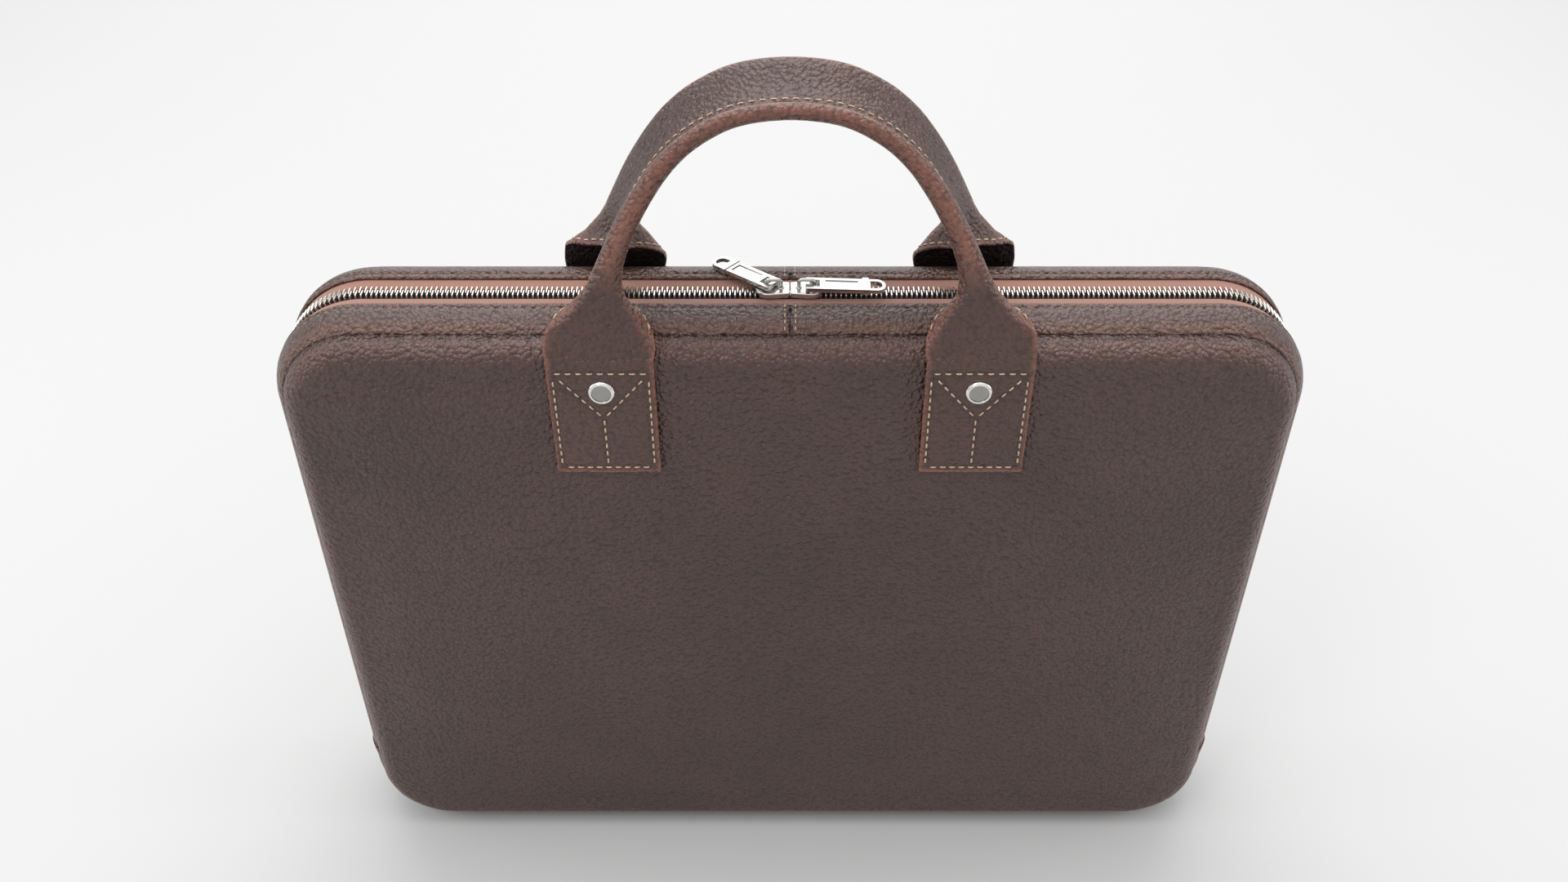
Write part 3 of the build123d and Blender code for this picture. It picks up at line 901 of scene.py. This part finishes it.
def handle_points(side):
    """Rows of points over the strap's outer face, each with its rise and how far it is folded."""
    route = handle_route()
    columns = HANDLE_COLUMNS
    rows = []
    to_edge = Vector((0, -side * math.cos(DROP), -math.sin(DROP)))
    for i, (x, rise) in enumerate(route):
        before, after = route[max(i - 1, 0)], route[min(i + 1, len(route) - 1)]
        tangent = Vector((after[0] - before[0], after[1] - before[1])).normalized()
        above = max(0.0, rise)
        leaning = LEAN * min(1.0, above / 8.0)
        y = side * (patch_y / MM - math.sin(leaning) * above)
        z = bend_z / MM + math.cos(leaning) * rise
        lengthwise = Vector((0, -side * math.sin(leaning), math.cos(leaning)))
        across_way = Vector((tangent.y, 0, 0)) - lengthwise * tangent.x
        across, depth, fold = strap_section(rise)
        inward = to_edge.lerp(Vector((0, -side, 0)), 1 - fold)
        row = []
        for j in range(-(columns - 1), columns):
            a = math.copysign(across[abs(j)], j) if j else 0.0
            d = depth[abs(j)]
            if rise < 6:
                share = abs(j) / (columns - 1)
                d += 0.6 * max(0.0, (share - 0.9) / 0.1) ** 2
                d += patch_relief(a, rise)
                d += 0.6 * max(0.0, patch_foot + 1.6 - rise) / 1.6
            point = Vector((x, y, z)) + across_way * a + inward * d
            row.append(point * MM)
        rows.append((row, rise, fold))
    return rows


def build_handle(side):
    """One strap: two stitched patches, the flared necks and the folded arch, all one piece of leather."""
    half = HALF[side]
    rows = handle_points(side)
    middle = HANDLE_COLUMNS - 1
    points, worn, uvs, shaded = [], [], [], []
    for row, rise, fold in rows:
        across, depth, _ = strap_section(rise)
        for j, point in enumerate(row):
            k = abs(j - middle)
            share = k / middle
            points.append(point)
            rim_wear = max(0.0, (share - 0.86) / 0.14) * (1.0 if fold < 0.3 else 0.5)
            foot_wear = max(0.0, 1 - max(0.0, rise - patch_foot - 1.5) / 1.5)
            # On the spine the reddening is partly wear and partly a painted highlight along the top of the
            # arch.
            spine_wear_and_highlight = 0.85 * max(0.0, 1 - share / 0.25) * min(1.0, max(0.0, (rise - 32) / 15))
            outward = across[k] / max(across)
            turn_wear = 0.7 * max(0.0, (outward - 0.72) / 0.28) * max(0.0, 1 - depth[k] / 9)
            turn_wear *= min(1.0, max(0.0, (rise - 11) / 4)) * min(1.0, max(0.0, (52 - rise) / 14))
            worn.append(min(1.0, max(rim_wear, foot_wear, spine_wear_and_highlight, turn_wear)))
            dx = (share if j > middle else -share) * patch_half / MM
            # Painted shade in the grooves that the patches' stitching pulls in.
            shaded.append(max(0.0, patch_relief(dx, rise) + 0.1) * 0.8 if rise < 3 else 0.0)
            uvs.append((j * MM, rise * MM))
    faces = grid_faces(len(rows), 2 * middle + 1, flip=side == BACK)
    strap = make_object(f"{half}_handle_leather", points, faces, [STRAP, INNER], edge=worn, uvs=uvs,
                        seam_shade=shaded)
    thick = strap.modifiers.new("thickness", "SOLIDIFY")
    thick.thickness = STRAP_THICKNESS * MM
    thick.offset = -1
    thick.use_even_offset = False
    thick.material_offset = 1
    rounding = strap.modifiers.new("rounding", "SUBSURF")
    rounding.levels = rounding.render_levels = 1
    apply_modifiers(strap)
    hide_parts(f"{half}_handle_strap", f"{half}_handle_patch_left", f"{half}_handle_patch_right",
                f"{half}_handle_core")
    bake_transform(strap)
    build_handle_stitches(side, rows)


def row_normal(rows, i, j, side):
    """The outward normal of the strap's face at a grid point."""
    before, after = rows[max(i - 1, 0)][0][j], rows[min(i + 1, len(rows) - 1)][0][j]
    left, right = rows[i][0][max(j - 1, 0)], rows[i][0][min(j + 1, len(rows[i][0]) - 1)]
    normal = (after - before).cross(right - left)
    normal.normalize()
    return -normal if side == FRONT else normal


def build_handle_stitches(side, rows):
    """Seam stitching round the arch, and the box, V and middle line on each patch."""
    half = HALF[side]
    arch = []
    for j in (3, 2 * HANDLE_COLUMNS - 5):
        row = []
        for i, (points, rise, _) in enumerate(rows):
            if rise > 18:
                normal = row_normal(rows, i, j, side)
                row.append((tuple(points[j] + normal * 0.12 * MM), tuple(normal)))
        arch.append(row)
    stitch_rows(f"{half}_handle_stitches", arch, f"{half}_handle", THREAD, 4.0 * MM, 2.6 * MM, 0.3 * MM)
    patch = []
    foot = patch_low[2]
    edge_x = patch_half - 2.6 * MM
    for centre in (-patch_x, patch_x):
        lines = [[(-edge_x, bend_z), (edge_x, bend_z)],
                 [(-edge_x, bend_z - 3 * MM), (-edge_x, foot + 4.5 * MM)],
                 [(edge_x, bend_z - 3 * MM), (edge_x, foot + 4.5 * MM)],
                 [(-edge_x + 1.5 * MM, foot + 3.2 * MM), (edge_x - 1.5 * MM, foot + 3.2 * MM)],
                 [(-edge_x + 2 * MM, bend_z - 2.5 * MM), (-0.6 * MM, bend_z - 20 * MM)],
                 [(edge_x - 2 * MM, bend_z - 2.5 * MM), (0.6 * MM, bend_z - 20 * MM)],
                 [(0, bend_z - 21 * MM), (0, foot + 4.5 * MM)]]
        for line in lines:
            patch.append([((centre + x, side * (patch_y - 0.16 * MM), z), (0, side, 0)) for x, z in line])
    stitch_rows(f"{half}_patch_stitches", patch, f"{half}_half", THREAD, 3.8 * MM, 2.5 * MM, 0.35 * MM)


# ---------------------------------------------------------------- metal parts from the frame

def dress_metal(node, material, width, segments=2):
    """A CAD metal part with its own material and softened edges."""
    obj = frame["nodes"][node]
    weld = obj.modifiers.new("weld", "WELD")
    weld.merge_threshold = 1e-6
    soft = obj.modifiers.new("soft_edges", "BEVEL")
    soft.width = width
    soft.segments = segments
    soft.limit_method = "ANGLE"
    soft.angle_limit = math.radians(32)
    soft.harden_normals = True
    obj.data.materials.clear()
    obj.data.materials.append(material)
    return obj


def build_sockets():
    """The small rings that hold each bridge's feet on its slider."""
    ring = ((0.72, -0.1), (0.74, 0.3), (0.95, 0.48), (1.2, 0.3), (1.28, -0.1))
    turns = 16
    for side in ("left", "right"):
        low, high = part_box(f"{side}_slider_bridge")
        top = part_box(f"{side}_slider_body")[1][2]
        points, faces = [], []
        for foot_x in (low[0] + 0.7 * MM, high[0] - 0.7 * MM):
            base = len(points)
            for k in range(turns):
                angle = 2 * math.pi * k / turns
                for out, up in ring:
                    reach = out * MM
                    points.append((foot_x + reach * math.cos(angle), reach * math.sin(angle), top + up * MM))
            for k in range(turns):
                for j in range(len(ring) - 1):
                    near = base + k * len(ring) + j
                    far = base + (k + 1) % turns * len(ring) + j
                    faces.append((far, far + 1, near + 1, near))
        make_object(f"{side}_slider_sockets", points, faces, STEEL, f"{side}_slider")


def dress_metals():
    """Sliders, bridges, pulls, rivets and stops."""
    for side in ("left", "right"):
        dress_metal(f"{side}_slider_body", STEEL, 0.18 * MM)
        dress_metal(f"{side}_slider_bridge", STEEL, 0.02 * MM, 1)
        dress_metal(f"{side}_pull_plate", STEEL, 0.16 * MM)
        dress_metal(f"{side}_pull_collar", STEEL, 0.1 * MM)
    for half in ("front", "back"):
        caps = dress_metal(f"{half}_rivet_caps", RIVET, 0.12 * MM)
        caps.data.materials.append(RIVET_FACE)
        for face in caps.data.polygons:
            x, y, z = face.center
            in_recess = abs(y) < -rivet_low[1] - 0.3 * MM
            if in_recess and math.hypot(abs(x) - patch_x, z - rivet_z) < 4.6 * MM:
                face.material_index = 1
        dress_metal(f"{half}_rivet_posts", RIVET, 0.05 * MM, 1)
    dress_metal("zip_end_stops", TOOTH, 0.25 * MM)


# ---------------------------------------------------------------- stage

def build_stage():
    """A pale floor that runs on to the horizon, soft lights and the camera."""
    floor = make_floor()
    bpy.context.scene.view_settings.view_transform = "Standard"
    world = bpy.data.worlds.new("studio")
    bpy.context.scene.world = world
    world.use_nodes = True
    tree = world.node_tree
    place = tree.nodes.new("ShaderNodeTexCoord")
    split = tree.nodes.new("ShaderNodeSeparateXYZ")
    fade = tree.nodes.new("ShaderNodeMapRange")
    for name, number in (("From Min", -0.1), ("From Max", 0.95), ("To Min", 0.52), ("To Max", 1.15)):
        fade.inputs[name].default_value = number
    tree.links.new(place.outputs["Generated"], split.inputs[0])
    tree.links.new(split.outputs["Z"], fade.inputs["Value"])
    tree.links.new(fade.outputs["Result"], tree.nodes["Background"].inputs["Strength"])
    tree.nodes["Background"].inputs["Color"].default_value = (1.0, 1.0, 1.0, 1.0)
    # Each light's name, place, aim, power and size.
    for name, spot, aim, power, size in (
            ("key", (-0.6, -0.75, 1.3), (0, 0, 0.2), 2.5, 0.4),
            ("left", (-1.3, 0.0, 0.6), (0, 0, 0.15), 3.5, 0.7),
            ("right", (1.3, 0.0, 0.6), (0, 0, 0.15), 3.5, 0.7),
            ("back", (0.0, 1.5, 1.4), (0, 0, 0.3), 27, 2.6),
            ("top", (0.0, 0.1, 1.6), (0, 0, 0.3), 8, 1.1)):
        lamp = bpy.data.lights.new(name, "AREA")
        lamp.energy = power
        lamp.size = size
        obj = bpy.data.objects.new(name, lamp)
        obj.location = spot
        obj.rotation_euler = (Vector(aim) - Vector(spot)).to_track_quat("-Z", "Y").to_euler()
        bpy.context.scene.collection.objects.link(obj)
    camera = bpy.data.cameras.new("camera")
    camera.sensor_width = 36
    camera.lens = 32.12
    camera.clip_start = 0.01
    view = bpy.data.objects.new("camera", camera)
    view.location = (-2.3 * MM, -456.8 * MM, 576.3 * MM)
    view.rotation_euler = (math.radians(90 - 38.26), 0, 0)
    bpy.context.scene.collection.objects.link(view)
    bpy.context.scene.camera = view


def make_floor():
    """The floor: one large pale square."""
    material = bpy.data.materials.new("floor")
    material.use_nodes = True
    shader = material.node_tree.nodes["Principled BSDF"]
    shader.inputs["Base Color"].default_value = (0.52, 0.52, 0.52, 1.0)
    shader.inputs["Roughness"].default_value = 0.95
    mesh = bpy.data.meshes.new("floor")
    reach = 30.0
    corners = [(-reach, -reach, 0), (reach, -reach, 0), (reach, reach, 0), (-reach, reach, 0)]
    mesh.from_pydata(corners, [], [(0, 1, 2, 3)])
    mesh.materials.append(material)
    floor = bpy.data.objects.new("floor", mesh)
    bpy.context.scene.collection.objects.link(floor)
    return floor


def dress_hidden():
    """The foam and the boards inside the panels have their own materials too."""
    for half in ("front", "back"):
        for node, material in ((half + "_foam", FOAM), (half + "_board", BOARD)):
            frame["nodes"][node].data.materials.clear()
            frame["nodes"][node].data.materials.append(material)


build_stage()
build_panels()
build_panel_linings()
build_gussets()
build_bottom()
build_tape()
build_teeth()
build_top_stitches()
build_handle(FRONT)
build_handle(BACK)
dress_metals()
build_sockets()
dress_hidden()
